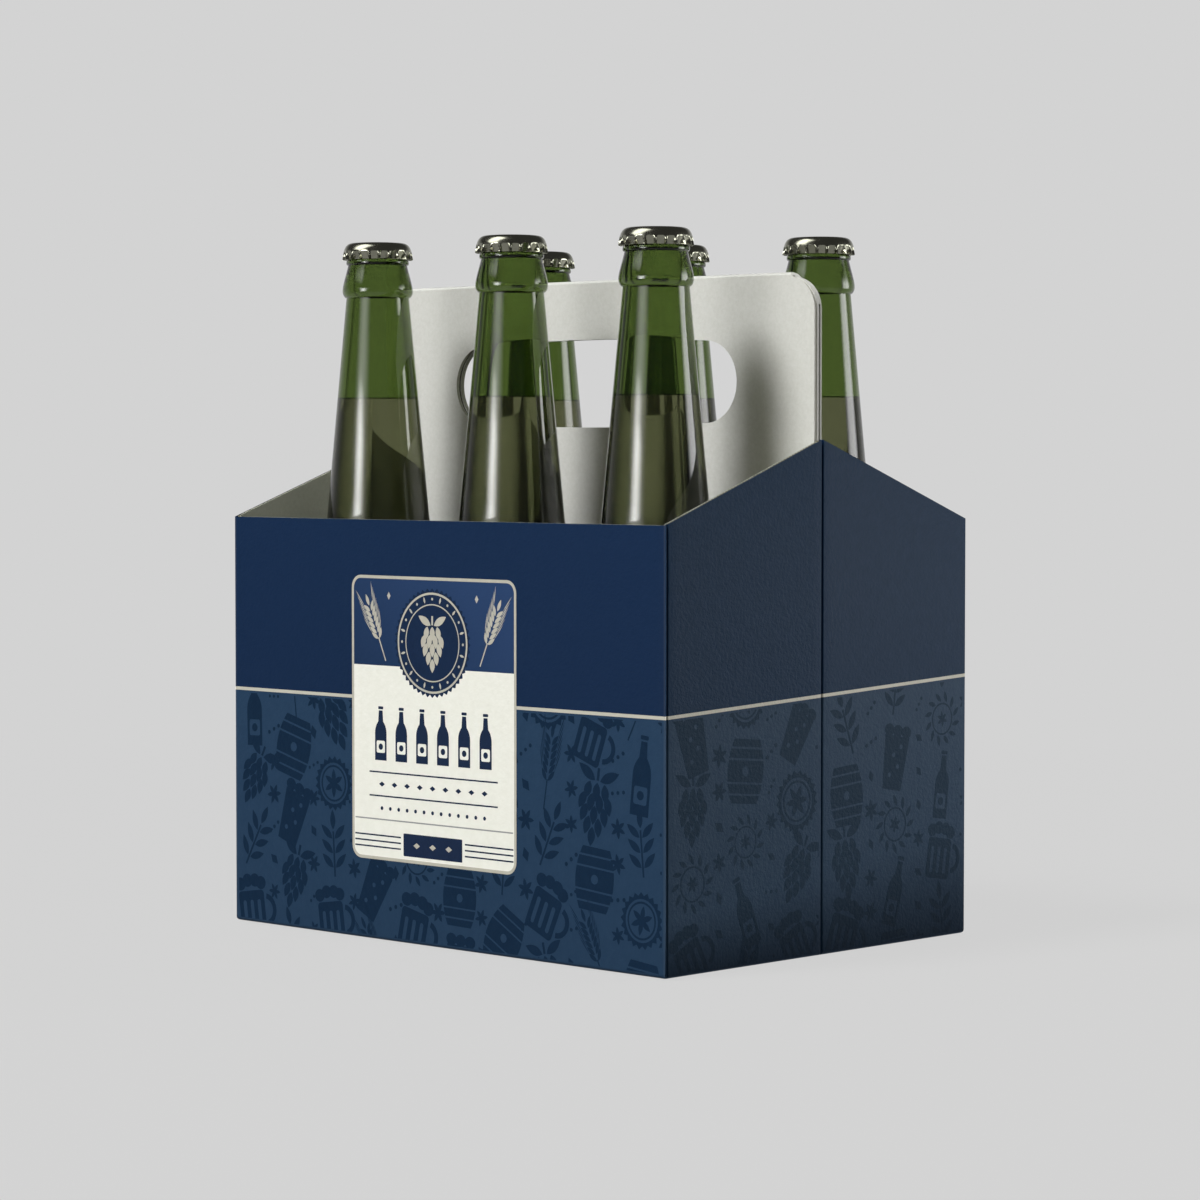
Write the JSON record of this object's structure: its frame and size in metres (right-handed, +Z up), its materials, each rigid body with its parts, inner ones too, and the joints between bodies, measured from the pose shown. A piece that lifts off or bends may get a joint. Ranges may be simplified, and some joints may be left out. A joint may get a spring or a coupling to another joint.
{
  "type": "six-pack bottle carrier",
  "caption": "Folded corrugated board basket with a gable at each end and a centre handle with a hand hole, holding capped long-neck glass bottles of drink.",
  "frame": {"origin": "on the surface that the carrier stands on, under the centre of its base", "axes": "+Z up; X along the long walls, parallel to the handle; the labelled front wall faces -Y"},
  "size_m": [0.2, 0.146, 0.2302],
  "materials": {
    "printed_board": "fine corrugated board, printed dark blue outside, off-white on the handle and inside",
    "green_glass": "clear olive green bottle glass, smooth and glossy",
    "drink": "clear golden drink, seen dark through green glass",
    "cap_metal": "bright tinned steel, polished"
  },
  "bodies": {
    "root": {"carrier_board": "printed_board", "glass_front_left": "green_glass", "glass_front_middle": "green_glass", "glass_front_right": "green_glass", "glass_rear_left": "green_glass", "glass_rear_middle": "green_glass", "glass_rear_right": "green_glass", "drink_front_left": "drink", "drink_front_middle": "drink", "drink_front_right": "drink", "drink_rear_left": "drink", "drink_rear_middle": "drink", "drink_rear_right": "drink", "cap_front_left": "cap_metal", "cap_front_middle": "cap_metal", "cap_front_right": "cap_metal", "cap_rear_left": "cap_metal", "cap_rear_middle": "cap_metal", "cap_rear_right": "cap_metal"}
  },
  "joints": []
}
